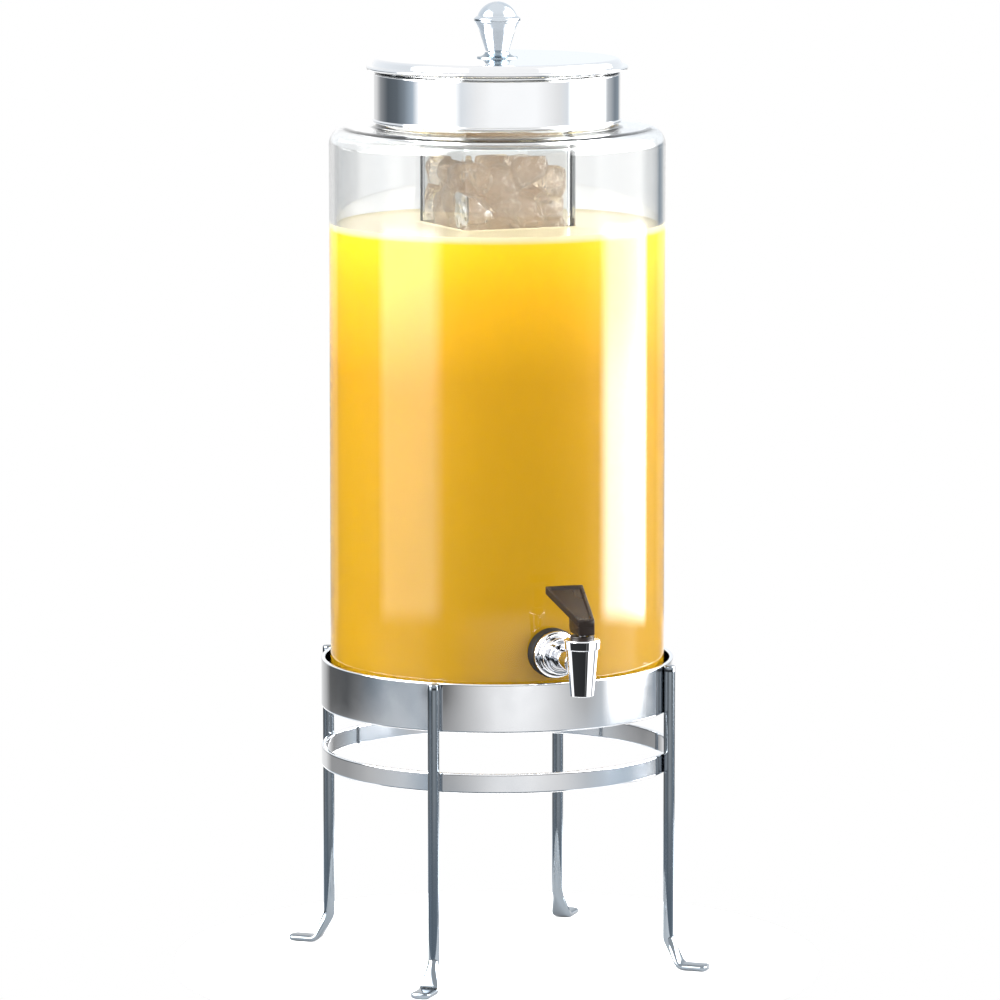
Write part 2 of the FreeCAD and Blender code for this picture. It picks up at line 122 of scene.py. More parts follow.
# %% [markdown]
# A real edge is never perfectly sharp. Each profile below is a list of corners with a fillet at each, and
# this helper turns the list into points: straight runs, and an arc at each corner that touches both runs.
# A Bevel modifier would also round edges, but it can't give each corner its own radius.

# %% Rounded profiles
def rounded(corners, closed=False, steps=8, support=0.5 * MM):
    """Points along the runs between (u, v, fillet) corners. A fillet's centre lies on the bisector of its
    corner, at fillet / sin(half the corner's angle) from it. Long runs get a point near each end, so that
    smooth shading bends only at the fillets."""
    given = np.array([corner[:2] for corner in corners], float)
    fillets = [corner[2] if len(corner) > 2 else 0.0 for corner in corners]
    stretches = []
    for i, fillet in enumerate(fillets):
        here = given[i]
        if fillet <= 0 or (not closed and i in (0, len(fillets) - 1)):
            stretches.append(here[None])
            continue
        back = given[i - 1] - here
        ahead = given[(i + 1) % len(given)] - here
        back /= np.linalg.norm(back)
        ahead /= np.linalg.norm(ahead)
        half = math.acos(float(np.clip(back @ ahead, -1, 1))) / 2
        centre = here + (back + ahead) / np.linalg.norm(back + ahead) * fillet / math.sin(half)
        first = here + back * fillet / math.tan(half) - centre
        last = here + ahead * fillet / math.tan(half) - centre
        start = math.atan2(first[1], first[0])
        turn = (math.atan2(last[1], last[0]) - start + math.pi) % (2 * math.pi) - math.pi
        angles = start + turn * np.linspace(0, 1, steps + 1)
        stretches.append(centre + fillet * np.stack([np.cos(angles), np.sin(angles)], axis=1))
    path = np.concatenate(stretches)
    run = (np.roll(path, -1, axis=0) if closed else path[1:]) - path[:len(path) - (not closed)]
    length = np.linalg.norm(run, axis=1, keepdims=True)
    share = np.minimum(support / np.maximum(length, 1e-9), 0.25)
    near = path[:len(run)] + run * share
    far = path[:len(run)] + run * (1 - share)
    long = length[:, 0] > 6 * support
    keep = np.stack([np.ones(len(run), bool), long, long], axis=1).ravel()
    points = np.stack([path[:len(run)], near, far], axis=1).reshape(-1, 2)[keep]
    return points if closed else np.concatenate([points, path[-1:]])


ANGLE = np.linspace(0, 2 * math.pi, AROUND, endpoint=False)


def turned(profile, middle=(0.0, 0.0)):
    """The profile's (radius, height) points carried round an upright axis through middle."""
    radius, height = profile[:, :1], profile[:, 1:]
    return np.stack([middle[0] + radius * np.cos(ANGLE), middle[1] + radius * np.sin(ANGLE),
                     height + 0 * ANGLE], axis=-1)


def squared(profile, corner, squareness, turn):
    """As turned(), but a row of squareness 1 is a square with rounded corners, whose half side is the row's
    radius. Folded into an eighth of a turn, a ray meets the flat side at half / cos(angle), or the corner's
    arc, whose centre is at half - corner along both sides."""
    half, height = profile[:, :1], profile[:, 1:]
    folded = np.abs((ANGLE + math.pi / 4) % (math.pi / 2) - math.pi / 4)
    round_corner = np.minimum(corner, half * 0.98)
    arm = half - round_corner
    under = np.maximum(round_corner ** 2 - (arm * (np.cos(folded) - np.sin(folded))) ** 2, 0)
    on_corner = arm * (np.cos(folded) + np.sin(folded)) + np.sqrt(under)
    on_side = half / np.cos(folded)
    square = np.where(half * np.tan(folded) <= arm, on_side, on_corner)
    share = np.asarray(squareness, float).reshape(-1, 1)
    radius = share * square + (1 - share) * half
    angle = ANGLE + turn
    return np.stack([radius * np.cos(angle), radius * np.sin(angle), height + 0 * angle], axis=-1)


print("a turned piece has", AROUND, "columns")


# %% Dressing a piece
def dress(piece, finish, body, slot, *nodes):
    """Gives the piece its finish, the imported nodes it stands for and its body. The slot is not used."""
    piece.data.materials.clear()
    piece.data.materials.append(finish)
    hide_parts(*nodes)
    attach(piece, body)
    corners = np.empty(len(piece.data.vertices) * 3)
    piece.data.vertices.foreach_get("co", corners)
    corners = corners.reshape(-1, 3) / MM
    low, high = corners.min(0), corners.max(0)
    faces = len(piece.data.polygons)
    print(f"{piece.name:18s} {faces:6d} faces  low {low.round(1)}  high {high.round(1)} mm")


# %% [markdown]
# ## Finishes
# Each finish is a small node tree on the Principled shader. Polished metal is never perfectly even, so its
# roughness and its bump come from stretched noise: long waves where a strip was rolled, fine lines where it
# was polished. A painted or coated look would need a second layer, which bare plated metal doesn't have.

# %% Node helpers
def new_finish(name, **sockets):
    """A material with one Principled shader, and the sockets given as plain values."""
    material = bpy.data.materials.new(name)
    material.use_nodes = True
    shader = material.node_tree.nodes["Principled BSDF"]
    for socket, value in sockets.items():
        shader.inputs[socket.replace("_", " ")].default_value = value
    return material, material.node_tree, shader


def place_noise(tree, stretch, size, detail=3.0):
    """Noise on Object coordinates; stretch scales X, Y and Z, so a small number draws long streaks."""
    coordinates = tree.nodes.new("ShaderNodeTexCoord")
    mapping = tree.nodes.new("ShaderNodeMapping")
    mapping.inputs["Scale"].default_value = stretch
    noise = tree.nodes.new("ShaderNodeTexNoise")
    noise.inputs["Scale"].default_value = size
    noise.inputs["Detail"].default_value = detail
    tree.links.new(coordinates.outputs["Object"], mapping.inputs["Vector"])
    tree.links.new(mapping.outputs["Vector"], noise.inputs["Vector"])
    return noise.outputs["Fac"]


def spread(tree, value, low, high):
    """The value, from 0.3 to 0.7, stretched to low..high."""
    node = tree.nodes.new("ShaderNodeMapRange")
    node.inputs["From Min"].default_value = 0.3
    node.inputs["From Max"].default_value = 0.7
    node.inputs["To Min"].default_value = low
    node.inputs["To Max"].default_value = high
    tree.links.new(value, node.inputs["Value"])
    return node.outputs["Result"]


def bump(tree, value, distance, strength=1.0, under=None):
    """A bump of that height in metres, on top of another bump if one is given."""
    node = tree.nodes.new("ShaderNodeBump")
    node.inputs["Distance"].default_value = distance
    node.inputs["Strength"].default_value = strength
    tree.links.new(value, node.inputs["Height"])
    if under is not None:
        tree.links.new(under, node.inputs["Normal"])
    return node.outputs["Normal"]


def polished_metal(name, colour, rough, wave, streak):
    """Polished or plated metal: roughness varies a little, waves bend reflections, and streaks follow the
    polishing."""
    material, tree, shader = new_finish(name, Base_Color=(*colour, 1.0), Metallic=1.0)
    smear = place_noise(tree, (1.0, 1.0, 1.0), 35.0)
    tree.links.new(spread(tree, smear, rough * 0.7, rough * 1.4), shader.inputs["Roughness"])
    waves = bump(tree, place_noise(tree, (1.0, 1.0, 1.0), 9.0, 1.0), wave)
    lines = bump(tree, place_noise(tree, streak, 900.0, 2.0), 0.004 * MM, 0.5, waves)
    tree.links.new(lines, shader.inputs["Normal"])
    return material


# %% Metals
stand_metal = polished_metal("stand_metal", (0.83, 0.84, 0.86), 0.05, 0.05 * MM, (1.0, 1.0, 0.05))
# The legs are the same plated steel as the rings. Their darker colour is painted shade and painted dark
# reflection.
rod_metal_painted_shade = polished_metal("rod_metal_painted_shade", (0.22, 0.25, 0.28), 0.06, 0.03 * MM, (1.0, 1.0, 0.05))
trim_metal = polished_metal("trim_metal", (0.76, 0.77, 0.785), 0.045, 0.03 * MM, (1.0, 1.0, 0.03))
faucet_chrome = polished_metal("faucet_chrome", (0.82, 0.83, 0.86), 0.035, 0.02 * MM, (1.0, 1.0, 0.2))
# The knob is the lid's trim metal. Its darker, bluer colour is painted shade and painted reflection.
knob_metal_painted_shade = polished_metal("knob_metal_painted_shade", (0.56, 0.61, 0.66), 0.1, 0.03 * MM, (1.0, 1.0, 0.2))
# The knob's foot is the lid's trim metal too. Its dark blue-grey colour is painted shade and painted
# reflection.
foot_metal_painted_shade = polished_metal("foot_metal_painted_shade", (0.26, 0.32, 0.37), 0.2, 0.02 * MM, (1.0, 1.0, 0.2))
spring_steel = polished_metal("spring_steel", (0.60, 0.60, 0.62), 0.22, 0.0, (1.0, 1.0, 1.0))
print("metals:", [m.name for m in (stand_metal, rod_metal_painted_shade, trim_metal, knob_metal_painted_shade, foot_metal_painted_shade,
                                       faucet_chrome, spring_steel)])


# %% [markdown]
# The jar and the ice chamber are clear moulded plastic. A real wall with an outer and an inner surface
# bends light as the real one does, so the shader is a plain clear one, and the thickness does the rest.
# Very slight waves from moulding keep the highlights from looking ruled. Ice is mostly clear too, but
# cloudy inside, dented and finely cracked. Its warm tint is painted reflection of the drink around it, and
# its faint glow is painted light, standing for the light that a volume would scatter.

# %% Clear plastic, ice
def clear_plastic_finish(name, tint, wave):
    """Clear acrylic: full transmission and an index of refraction of 1.49."""
    material, tree, shader = new_finish(name, Base_Color=(*tint, 1.0), Transmission_Weight=1.0, IOR=1.49)
    scuffs = place_noise(tree, (1.0, 1.0, 0.3), 60.0)
    tree.links.new(spread(tree, scuffs, 0.0, 0.02), shader.inputs["Roughness"])
    waves = place_noise(tree, (1.0, 1.0, 0.25), 14.0, 1.0)
    tree.links.new(bump(tree, waves, wave), shader.inputs["Normal"])
    return material


jar_plastic = clear_plastic_finish("jar_plastic", (0.968, 0.974, 0.971), 0.03 * MM)
chamber_plastic = clear_plastic_finish("chamber_plastic", (0.97, 0.98, 0.975), 0.02 * MM)

# The ice's warm emission is painted light.
ice_finish, ice_tree, ice_shader = new_finish("ice", Transmission_Weight=0.86, IOR=1.31,
                                               Emission_Color=(1.0, 0.74, 0.46, 1.0),
                                               Emission_Strength=0.05)
# Beige to near white by noise: the ice's cloudiness, with a warm cast that is painted reflection of the
# drink.
ice_tint_and_painted_reflection = ice_tree.nodes.new("ShaderNodeMixRGB")
ice_tint_and_painted_reflection.inputs["Color1"].default_value = (0.97, 0.82, 0.64, 1.0)
ice_tint_and_painted_reflection.inputs["Color2"].default_value = (0.99, 0.94, 0.86, 1.0)
ice_clouds = place_noise(ice_tree, (1.0, 1.0, 1.0), 75.0, 5.0)
ice_tree.links.new(spread(ice_tree, ice_clouds, 0.0, 1.0), ice_tint_and_painted_reflection.inputs["Fac"])
ice_tree.links.new(ice_tint_and_painted_reflection.outputs["Color"], ice_shader.inputs["Base Color"])
ice_tree.links.new(spread(ice_tree, ice_clouds, 0.08, 0.0), ice_shader.inputs["Roughness"])
ice_cracks = place_noise(ice_tree, (1.0, 1.0, 1.0), 210.0, 4.0)
ice_facets = ice_tree.nodes.new("ShaderNodeTexVoronoi")
ice_facets.inputs["Scale"].default_value = 190.0
ice_tree.links.new(ice_tree.nodes["Texture Coordinate"].outputs["Object"], ice_facets.inputs["Vector"])
ice_dents = bump(ice_tree, ice_facets.outputs["Distance"], 1.3 * MM)
ice_tree.links.new(bump(ice_tree, ice_cracks, 1.0 * MM, 1.0, ice_dents), ice_shader.inputs["Normal"])

# %% [markdown]
# Orange drink is opaque and soft: light goes a little way in and comes back deeper in colour. It is paler
# near its surface, where light also enters from above, and more amber low down. That light and shade are
# painted into the colour as a ramp on height, with fine pulp mottling on top. A volume would do this too,
# but far more slowly.

# %% Drink, plastics and rubbers
drink_finish, drink_tree, drink_shader = new_finish("drink", Roughness=0.3, IOR=1.35,
                                                    Specular_IOR_Level=0.2)
drink_low, drink_high = (corner.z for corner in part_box("drink"))


def drink_colour_and_painted_light(tree, shader):
    """A colour ramp on height that paints light and shade into the drink: paler towards the top, where
    light enters from above, and amber lower down. A faint change of it by fine noise is the pulp. The last
    two stops make the top surface pale."""
    coordinates = tree.nodes.new("ShaderNodeTexCoord")
    split = tree.nodes.new("ShaderNodeSeparateXYZ")
    tree.links.new(coordinates.outputs["Object"], split.inputs["Vector"])
    height = tree.nodes.new("ShaderNodeMapRange")
    height.inputs["From Min"].default_value = drink_low
    height.inputs["From Max"].default_value = drink_high
    tree.links.new(split.outputs["Z"], height.inputs["Value"])
    ramp = tree.nodes.new("ShaderNodeValToRGB")
    stops = [(0.0, (0.40, 0.222, 0.004)), (0.35, (0.42, 0.238, 0.004)), (0.7, (0.48, 0.265, 0.004)),
             (0.88, (0.68, 0.385, 0.007)), (0.984, (0.80, 0.50, 0.010)), (0.992, (0.66, 0.55, 0.32)),
             (1.0, (0.70, 0.63, 0.43))]
    while len(ramp.color_ramp.elements) < len(stops):
        ramp.color_ramp.elements.new(0.5)
    for element, (place, colour) in zip(ramp.color_ramp.elements, stops):
        element.position = place
        element.color = (*colour, 1.0)
    tree.links.new(height.outputs["Result"], ramp.inputs["Fac"])
    pulp = spread(tree, place_noise(tree, (1.0, 1.0, 0.5), 160.0, 4.0), 0.988, 1.012)
    mix = tree.nodes.new("ShaderNodeVectorMath")
    mix.operation = "SCALE"
    tree.links.new(ramp.outputs["Color"], mix.inputs[0])
    tree.links.new(pulp, mix.inputs["Scale"])
    tree.links.new(mix.outputs["Vector"], shader.inputs["Base Color"])


drink_colour_and_painted_light(drink_tree, drink_shader)


def moulded(name, colour, rough, shine, grain, depth):
    """Moulded plastic or rubber: a fine grain in the mould, and roughness that varies with handling."""
    material, tree, shader = new_finish(name, IOR=1.5, Specular_IOR_Level=shine)
    shade = tree.nodes.new("ShaderNodeMixRGB")
    shade.inputs["Color1"].default_value = (*[c * 0.85 for c in colour], 1.0)
    shade.inputs["Color2"].default_value = (*[c * 1.2 for c in colour], 1.0)
    tree.links.new(place_noise(tree, (1.0, 1.0, 1.0), 70.0), shade.inputs["Fac"])
    tree.links.new(shade.outputs["Color"], shader.inputs["Base Color"])
    tree.links.new(spread(tree, place_noise(tree, (1, 1, 1), 45.0), rough * 0.8, rough * 1.25),
                   shader.inputs["Roughness"])
    tree.links.new(bump(tree, place_noise(tree, (1, 1, 1), grain, 2.0), depth), shader.inputs["Normal"])
    return material


black_plastic = moulded("black_plastic", (0.007, 0.0042, 0.003), 0.28, 0.22, 1500.0, 0.01 * MM)
black_rubber = moulded("black_rubber", (0.004, 0.004, 0.0045), 0.55, 0.15, 900.0, 0.02 * MM)
seal_rubber = moulded("seal_rubber", (0.62, 0.62, 0.60), 0.5, 0.4, 900.0, 0.02 * MM)
print("drink runs from", round(drink_low, 4), "to", round(drink_high, 4))

# %% [markdown]
# ## The stand
# The stand is two flat strips rolled into rings and welded to four round rods. A ring's section is a thin
# upright rectangle with eased edges. The rods could be curves with a bevel, but their ends are hammered
# flat, so each is a section carried along the bent path, with a width and a height that change on the way.

# %% Bands
STRIP = 2.5 * MM
STRIP_EDGE = 0.7 * MM
for name, node in (("band_rolled", "upper_band"), ("ring_rolled", "lower_ring")):
    low, high = heights(node)
    outer = half_width(node)
    inner = outer - STRIP
    section = rounded([(inner, low, STRIP_EDGE), (outer, low, STRIP_EDGE),
                       (outer, high, STRIP_EDGE), (inner, high, STRIP_EDGE)], closed=True)
    dress(skin(name, turned(section)), stand_metal, "stand", "stand_metal", node)

# %% Legs
ROD = 3.5 * MM
STAND_TURN = math.radians(6.5)
KINK_HIGH = 18.5 * MM
HEEL_OUT = 8.0 * MM
TOE_OUT = 26.0 * MM
PAD_HALF_THICK = 2.0 * MM
PAD_HALF_WIDE = 6.2 * MM
TOP_ROUND = 1.2 * MM
TOE_ROUND = 3.5 * MM
leg_circle = half_width("upper_band") + ROD
leg_top = heights("leg_1")[1]


def ease(value):
    """0 below 0, 1 above 1, and a smooth rise between, 3 t^2 - 2 t^3."""
    t = np.clip(value, 0, 1)
    return t * t * (3 - 2 * t)


def bent_leg(turn):
    """A rod whose section is a superellipse, |u|^p + |v|^p = 1. Its half height falls from the rod's
    radius to the pad's, and its half width grows, over the heel bend. At both ends the section shrinks
    as a quarter ellipse does, so the top edge and the toe are round."""
    bends = rounded([(leg_circle, leg_top), (leg_circle, KINK_HIGH, 6 * MM),
                     (leg_circle + HEEL_OUT, PAD_HALF_THICK, 5 * MM),
                     (leg_circle + TOE_OUT - 0.1 * MM, PAD_HALF_THICK)], steps=14)
    run = np.concatenate([[0], np.cumsum(np.linalg.norm(np.diff(bends, axis=0), axis=1))])
    total = run[-1]
    where = np.concatenate([TOP_ROUND * (1 - np.cos(np.linspace(0, math.pi / 2, 7))),
                            np.linspace(4 * MM, total - 42 * MM, 30),
                            np.linspace(total - 41 * MM, total - 4 * MM, 44),
                            total - TOE_ROUND * np.cos(np.linspace(0, math.pi / 2, 14))[:-1], [total]])
    out = np.interp(where, run, bends[:, 0])
    up = np.interp(where, run, bends[:, 1])
    along = np.stack([np.gradient(out, where), np.gradient(up, where)], axis=1)
    along /= np.linalg.norm(along, axis=1, keepdims=True)
    flat = ease((where - (total - 34 * MM)) / (17 * MM))
    half_high = ROD + (PAD_HALF_THICK - ROD) * flat
    half_wide = ROD + (PAD_HALF_WIDE - ROD) * flat
    from_top = np.clip(where / TOP_ROUND, 0, 1)
    top_round = 1 - 0.30 * (1 - np.sqrt(1 - (1 - from_top) ** 2))
    top_round[0] = 0
    from_toe = np.clip((total - where) / TOE_ROUND, 0, 1)
    toe_wide = 0.35 + 0.65 * np.sqrt(1 - (1 - from_toe) ** 2)
    toe_wide[-1] = 0
    toe_high = 0.55 + 0.45 * toe_wide
    toe_high[-1] = 0
    power = 1.0 - 0.45 * flat[:, None]
    angle = np.linspace(0, 2 * math.pi, 48, endpoint=False)[None, :]
    u = np.sign(np.cos(angle)) * np.abs(np.cos(angle)) ** power
    v = np.sign(np.sin(angle)) * np.abs(np.sin(angle)) ** power
    across = u * (half_wide * top_round * toe_wide)[:, None]
    lift = v * (half_high * top_round * toe_high)[:, None]
    outward = out[:, None] - lift * along[:, 1:]
    z = np.maximum(up[:, None] + lift * along[:, :1], 0)
    away = (math.sin(turn), -math.cos(turn))
    side = (math.cos(turn), math.sin(turn))
    return np.stack([outward * away[0] + across * side[0], outward * away[1] + across * side[1], z],
                    axis=-1)


for number in range(4):
    node = f"leg_{number + 1}"
    turn = STAND_TURN - math.pi / 4 + number * math.pi / 2
    dress(skin(f"{node}_bent", bent_leg(turn)), rod_metal_painted_shade, "stand", "stand_metal", node)

# %% [markdown]
# ## The jar
# The jar is one moulding of clear plastic, 4 mm thick, with a round shoulder and a wide neck. Its profile
# goes up the outside, over the rim and down the inside to the middle of the floor, so it has a real wall
# with two surfaces. That matters for clear things: light bends on the way in and on the way out.

# %% Jar
WALL = 4.0 * MM
FLOOR = 5.0 * MM
SHOULDER_ROUND = 10.5 * MM
NECK_TALL = 32.5 * MM
jar_low, jar_top = heights("jar")
jar_r = half_width("jar")
neck_r = half_width("neck_collar") - 2.1 * MM
shoulder = jar_top - NECK_TALL
jar_profile = rounded([(0, jar_low), (jar_r, jar_low, 8 * MM), (jar_r, shoulder, SHOULDER_ROUND),
                       (neck_r, shoulder, 3 * MM), (neck_r, jar_top, 1.5 * MM),
                       (neck_r - WALL, jar_top, 1.5 * MM), (neck_r - WALL, shoulder - WALL, 3 * MM),
                       (jar_r - WALL, shoulder - WALL, SHOULDER_ROUND - WALL),
                       (jar_r - WALL, jar_low + FLOOR, 6 * MM), (0, jar_low + FLOOR)], steps=14)
jar = skin("jar_moulded", turned(jar_profile))
dress(jar, jar_plastic, "jar_body", "clear_plastic", "jar")
print("neck radius", round(neck_r / MM, 2), "shoulder at", round(shoulder / MM, 1))

# %% [markdown]
# ## The drink
# Liquid wets the wall, so no air lies between it and the plastic. A gap there would act as a mirror at
# steep angles, so the drink's skin is set 0.3 mm into the wall. At the top it climbs the wall in a small
# meniscus, a curve that falls away exponentially over a few millimetres. The drink has a square well for
# the ice chamber.

# %% Drink
CHAMBER_TURN = math.radians(5.5)
CHAMBER_CORNER = 4.0 * MM
drink_low, drink_high = heights("drink")
chamber_low = heights("chamber_floor")[0]
chamber_half = 37.0 * MM
wet = jar_r - WALL + 0.3 * MM
well = chamber_half + 0.2 * MM
inward = np.concatenate([np.linspace(0, 1, 16) ** 2 * 12 * MM, [(wet - well) * 0.6]])
surface = drink_high - 1.6 * MM * (1 - np.exp(-inward / (2.4 * MM)))
side_and_floor = rounded([(0, drink_low - 0.3 * MM), (wet, drink_low - 0.3 * MM, 6 * MM),
                          (wet, drink_high - 4 * MM)], steps=10)
profile = np.concatenate([side_and_floor, np.stack([wet - inward, surface], axis=1),
                          [(well + 3 * MM, surface[-1]), (well + 0.8 * MM, surface[-1] + 0.3 * MM),
                           (well, surface[-1] + 0.9 * MM), (well, surface[-1]),
                           (well, chamber_low - 0.3 * MM), (0, chamber_low - 0.3 * MM)]])
squareness = np.concatenate([np.zeros(len(side_and_floor) + len(inward) - 1),
                             [0.25, 0.9, 1, 1, 1, 1, 1]])
drink = skin("drink_poured", squared(profile, CHAMBER_CORNER, squareness, CHAMBER_TURN))
dress(drink, drink_finish, "jar_body", "juice", "drink")

# %% [markdown]
# ## The ice chamber
# A square clear box hangs in the drink and keeps melting ice out of it. Its flange is round outside, where
# it rests on the neck, and square inside. Both come from the same rows as a turned piece, but each row has
# its own squareness between 0, round, and 1, square with rounded corners.

# %% Ice chamber
CHAMBER_WALL = 3.0 * MM
chamber_top = heights("chamber_tube")[1]
chamber_profile = rounded([(0, chamber_low), (chamber_half, chamber_low, 1 * MM),
                           (chamber_half, chamber_top, 0.4 * MM),
                           (chamber_half - CHAMBER_WALL, chamber_top, 0.4 * MM),
                           (chamber_half - CHAMBER_WALL, chamber_low + CHAMBER_WALL, 1 * MM),
                           (0, chamber_low + CHAMBER_WALL)], steps=4)
chamber = skin("chamber_moulded", squared(chamber_profile, CHAMBER_CORNER, np.ones(len(chamber_profile)),
                                          CHAMBER_TURN))
dress(chamber, chamber_plastic, "ice_chamber", "clear_plastic", "chamber_tube", "chamber_floor")

# %% Chamber flange
flange_r = half_width("chamber_flange")
flange_low, flange_top = heights("chamber_flange")
recess_r = neck_r - WALL - 0.5 * MM
tray_r = recess_r - 2.5 * MM
rim_low = flange_top - 2.5 * MM
tray_floor = flange_low + 2.5 * MM
opening = chamber_half - CHAMBER_WALL
round_part = rounded([(opening + 6 * MM, flange_low), (recess_r, flange_low, 1 * MM), (recess_r, rim_low),
                      (flange_r, rim_low, 0.4 * MM), (flange_r, flange_top, 0.8 * MM),
                      (tray_r, flange_top, 0.8 * MM), (tray_r, tray_floor, 1 * MM),
                      (opening + 6 * MM, tray_floor)], steps=5)
flange_profile = np.concatenate([[(opening, flange_low)], round_part, [(opening, tray_floor)]])
flange_square = np.concatenate([[1.0, 0.55], np.zeros(len(round_part) - 2), [0.55, 1.0]])
flange = skin("flange_moulded", squared(flange_profile, CHAMBER_CORNER - CHAMBER_WALL / 2, flange_square,
                                        CHAMBER_TURN))
dress(flange, chamber_plastic, "ice_chamber", "clear_plastic", "chamber_flange")

# %% [markdown]
# ## The ice
# Bar ice is broken lumps with flat faces and worn edges. A lump is what is left of a ball when planes cut
# it at random, which is a formula: along a ray d, the surface is at the smallest h / (n . d) over the
# planes with normal n and distance h. Taking a soft minimum instead rounds the edges as melting does. All
# lumps are worked out at once, as one array of lump x row x column.

# %% Ice lumps
ice_low, ice_high = heights("ice")
draw = np.random.default_rng(7)
ACROSS = 4
LAYERS = 18
pitch = (2 * opening - 1 * MM) / ACROSS
layer, row, column = (index.ravel() for index in np.meshgrid(range(LAYERS), range(ACROSS), range(ACROSS),
                                                             indexing="ij"))
count = len(layer)
middle = np.stack([(column - 1.5) * pitch, (row - 1.5) * pitch, 0.0 * layer], axis=1)
middle[:, :2] += draw.uniform(-3.2, 3.2, (count, 2)) * MM
middle[:, 2] = ice_low + 11 * MM + layer * (ice_high - ice_low - 24 * MM) / (LAYERS - 1)
middle[:, 2] += draw.uniform(-5.0, 5.0, count) * MM
size = draw.uniform(8.0, 12.5, count) * MM
polar = np.linspace(0, math.pi, 14)[:, None]
round_angle = np.linspace(0, 2 * math.pi, 20, endpoint=False)[None, :]
ray = np.stack([np.sin(polar) * np.cos(round_angle), np.sin(polar) * np.sin(round_angle),
                np.cos(polar) + 0 * round_angle], axis=-1)
normal = draw.normal(size=(count, 9, 3))
normal /= np.linalg.norm(normal, axis=2, keepdims=True)
plane = draw.uniform(0.62, 1.0, (count, 9))
facing = np.einsum("rcx,kpx->krcp", ray, normal) / plane[:, None, None, :]
SOFTNESS = 30.0
lump = (np.sum(np.maximum(facing, 0) ** SOFTNESS, axis=-1) + 0.86 ** SOFTNESS) ** (-1 / SOFTNESS)
stretch = draw.uniform(0.85, 1.25, (count, 1, 1, 3))
points = middle[:, None, None, :] + ray * lump[..., None] * stretch * size[:, None, None, None]
reach = opening - 0.5 * MM
points[..., :2] = np.clip(points[..., :2], -reach, reach)
points[..., 2] = np.clip(points[..., 2], ice_low, ice_high)
cos_turn, sin_turn = math.cos(CHAMBER_TURN), math.sin(CHAMBER_TURN)
points = np.stack([points[..., 0] * cos_turn - points[..., 1] * sin_turn,
                   points[..., 0] * sin_turn + points[..., 1] * cos_turn, points[..., 2]], axis=-1)
lumps = skin("ice_lumps", *points, sharp_degrees=35.0)
dress(lumps, ice_finish, "ice_chamber", "ice_clear", "ice")

# %% [markdown]
# ## Collar and lid
# A thin polished collar dresses the neck and ends in a fine bead. The lid is drawn from sheet: a flat
# top, a steep shoulder and a rolled rim that rests on the chamber's flange. A lathe would give the same
# rings. Here each is one rounded profile.

# %% Collar
collar_low, collar_high = heights("neck_collar")
collar_inner = neck_r + 0.1 * MM
collar_outer = collar_inner + 1.2 * MM
bead = collar_outer + 0.8 * MM
collar_profile = rounded([(collar_inner, collar_low), (bead, collar_low, 0.6 * MM),
                          (bead, collar_low + 1.6 * MM, 0.6 * MM),
                          (collar_outer, collar_low + 1.9 * MM, 0.4 * MM),
                          (collar_outer, collar_high, 0.35 * MM), (collar_inner, collar_high)],
                         closed=True, steps=5)
collar = skin("collar_pressed", turned(collar_profile))
dress(collar, trim_metal, "jar_body", "trim_metal", "neck_collar")

# %% Lid and its skirt
SHEET = 1.1 * MM
RIM_THICK = 2.6 * MM
RIM_WIDE = 6.5 * MM
RIM_ROUND = 1.25 * MM
SHOULDER_TOP_IN = 5.5 * MM
SHOULDER_FOOT_IN = 3.25 * MM
lid_low, lid_top = heights("lid")
lid_r = half_width("lid")
top_r = lid_r - SHOULDER_TOP_IN
rim_top = lid_low + RIM_THICK
foot_r = lid_r - SHOULDER_FOOT_IN
lid_profile = rounded([(0, lid_top), (top_r, lid_top, 3.5 * MM), (foot_r, rim_top, 1.0 * MM),
                       (lid_r, rim_top, RIM_ROUND), (lid_r, lid_low, RIM_ROUND),
                       (lid_r - RIM_WIDE, lid_low, 0.4 * MM), (lid_r - RIM_WIDE, rim_top - SHEET),
                       (top_r - SHEET, lid_top - SHEET, 2.4 * MM), (0, lid_top - SHEET)], steps=10)
dress(skin("lid_drawn", turned(lid_profile)), trim_metal, "lid_body", "trim_metal", "lid")
skirt_low, skirt_high = heights("lid_skirt")
skirt_r = half_width("lid_skirt")
skirt_inner = skirt_r - 1 * MM
skirt_profile = rounded([(skirt_inner, skirt_low, 0.3 * MM), (skirt_r, skirt_low, 0.3 * MM),
                         (skirt_r, skirt_high), (skirt_inner, skirt_high)], closed=True, steps=4)
dress(skin("skirt_rolled", turned(skirt_profile)), trim_metal, "lid_body", "trim_metal", "lid_skirt")

# %% [markdown]
# The knob is turned metal: a full flank that widens to a ridge, then a smaller dome, which is part of a
# ball. A flared washer sits under it, with a dark line where the two meet. The flank comes from a short
# list of corners with large fillets, and the flare is a curve pulled towards one point.

# %% Knob
knob_low, knob_high = heights("knob")
knob_neck = 7.2 * MM
ridge_r = half_width("knob")
ridge = knob_low + 19.5 * MM
dome_r = 12.0 * MM
rise = knob_high - ridge - 1.8 * MM
dome_ball = (dome_r ** 2 + rise ** 2) / (2 * rise)
dome_angle = np.linspace(math.asin(dome_r / dome_ball), 0, 24)
dome = np.stack([dome_ball * np.sin(dome_angle), knob_high - dome_ball * (1 - np.cos(dome_angle))],
                axis=1)
flank = rounded([(0, knob_low), (knob_neck, knob_low, 0.5 * MM),
                 (ridge_r - 2.9 * MM, ridge - 6.2 * MM, 14 * MM),
                 (ridge_r - 0.9 * MM, ridge - 2.6 * MM, 2 * MM), (ridge_r, ridge - 1.3 * MM, 0.9 * MM),
                 (ridge_r, ridge + 0.3 * MM, 0.7 * MM), (dome_r + 0.8 * MM, ridge + 1.4 * MM, 0.3 * MM),
                 (dome_r + 0.1 * MM, ridge + 1.7 * MM)], steps=8, support=0.3 * MM)
knob_profile = np.concatenate([flank, dome])
